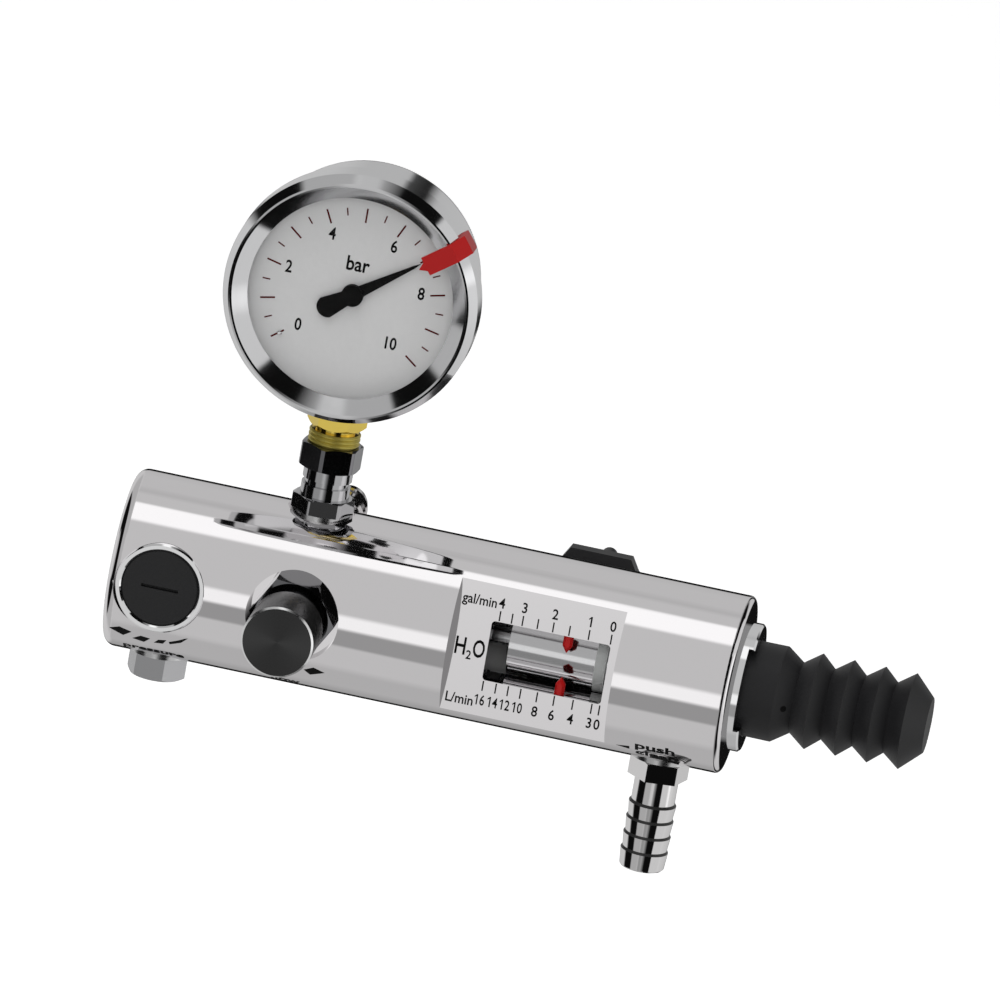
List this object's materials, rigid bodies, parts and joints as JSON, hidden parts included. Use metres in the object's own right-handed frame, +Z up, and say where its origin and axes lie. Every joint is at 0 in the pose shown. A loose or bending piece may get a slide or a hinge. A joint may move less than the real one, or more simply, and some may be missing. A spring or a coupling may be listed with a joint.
{
  "type": "water flow meter",
  "caption": "Round chromed flow and pressure regulator with a sight window, float, dial gauge, two black adjusters, hose barbs, a cleaning bellows and a rear bracket.",
  "frame": {"origin": "centre of the rear face of the bracket's post, at the mouth of its fixing hole", "axes": "+X along the body towards the bellows, +Y out of the back towards the wall, +Z up towards the gauge"},
  "size_m": [0.2196, 0.0993, 0.1769],
  "materials": {
    "chrome": "polished",
    "nickel": "polished",
    "polished_steel": "polished",
    "satin_steel": "satin",
    "steel": "machined",
    "brass": "machined",
    "black_plastic": "matte",
    "black_knob": "gloss",
    "black_rubber": "matte",
    "fibre": "matte",
    "red_plastic": "gloss",
    "pale_plastic": "matte",
    "dial_white": "matte",
    "needle_black": "matte",
    "clear_lens": "clear",
    "clear_tube": "clear"
  },
  "bodies": {
    "body": {"housing": "chrome", "pressure_ring": "chrome", "spring_plate": "steel", "pressure_spring": "steel", "valve_bonnet": "chrome", "sight_tube": "clear_tube", "left_tube_seal": "black_rubber", "right_tube_seal": "black_rubber", "metering_cone": "steel", "float_spring": "steel", "inlet_barb": "nickel", "rear_barb": "nickel", "inlet_washer": "fibre", "rear_barb_washer": "fibre", "plug_washer": "fibre", "gauge_washer": "fibre", "blanking_plug": "satin_steel", "gauge_adapter": "nickel", "gauge_nut": "nickel", "gauge_stem": "brass", "gauge_case": "polished_steel", "gauge_dial": "dial_white", "gauge_lens": "clear_lens", "gauge_bezel": "polished_steel", "movement_plate": "brass", "bourdon_tube": "brass", "rod_guide": "steel", "bellows": "black_rubber", "end_ring": "chrome", "bracket": "black_plastic", "bracket_screws": "steel"},
    "pressure_control": {"pressure_adjuster": "black_plastic"},
    "flow_control": {"flow_knob": "black_knob", "valve_stem": "steel"},
    "cleaner": {"cleaning_rod": "polished_steel"},
    "float": {"float_piston": "polished_steel", "float_ring": "pale_plastic"},
    "upper_pointer": {"upper_marker": "red_plastic"},
    "lower_pointer": {"lower_marker": "red_plastic"},
    "pointer": {"gauge_needle": "needle_black", "needle_shaft": "brass"},
    "pressure_limit": {"limit_marker": "red_plastic"}
  },
  "joints": [
    {"name": "pressure_turn", "type": "hinge", "parent": "body", "child": "pressure_control", "pos_m": [-0.1088, -0.052, 0], "axis": [0, -1, 0], "range_deg": [-540, 540]},
    {"name": "flow_turn", "type": "hinge", "parent": "body", "child": "flow_control", "pos_m": [-0.0725, -0.052, 0], "axis": [0, -1, 0], "range_deg": [-450, 450]},
    {"name": "clean_push", "type": "slide", "parent": "body", "child": "cleaner", "axis": [-1, 0, 0], "range_m": [0, 0.022], "stiffness_N_per_m": 400, "springref_m": -0.004, "deforming": ["bellows"]},
    {"name": "float_travel", "type": "slide", "parent": "cleaner", "child": "float", "axis": [-1, 0, 0], "range_m": [0, 0.027], "stiffness_N_per_m": 25, "springref_m": -0.008, "deforming": ["float_spring"]},
    {"name": "upper_marker_slide", "type": "slide", "parent": "body", "child": "upper_pointer", "axis": [1, 0, 0], "range_m": [-0.0182, 0.009]},
    {"name": "lower_marker_slide", "type": "slide", "parent": "body", "child": "lower_pointer", "axis": [1, 0, 0], "range_m": [-0.0182, 0.009]},
    {"name": "needle_turn", "type": "hinge", "parent": "body", "child": "pointer", "pos_m": [-0.0725, -0.052, 0.088], "axis": [0, 1, 0], "range_deg": [-181, 74]},
    {"name": "limit_marker_turn", "type": "hinge", "parent": "body", "child": "pressure_limit", "pos_m": [-0.0725, -0.052, 0.088], "axis": [0, 1, 0], "range_deg": [-181, 73]}
  ]
}
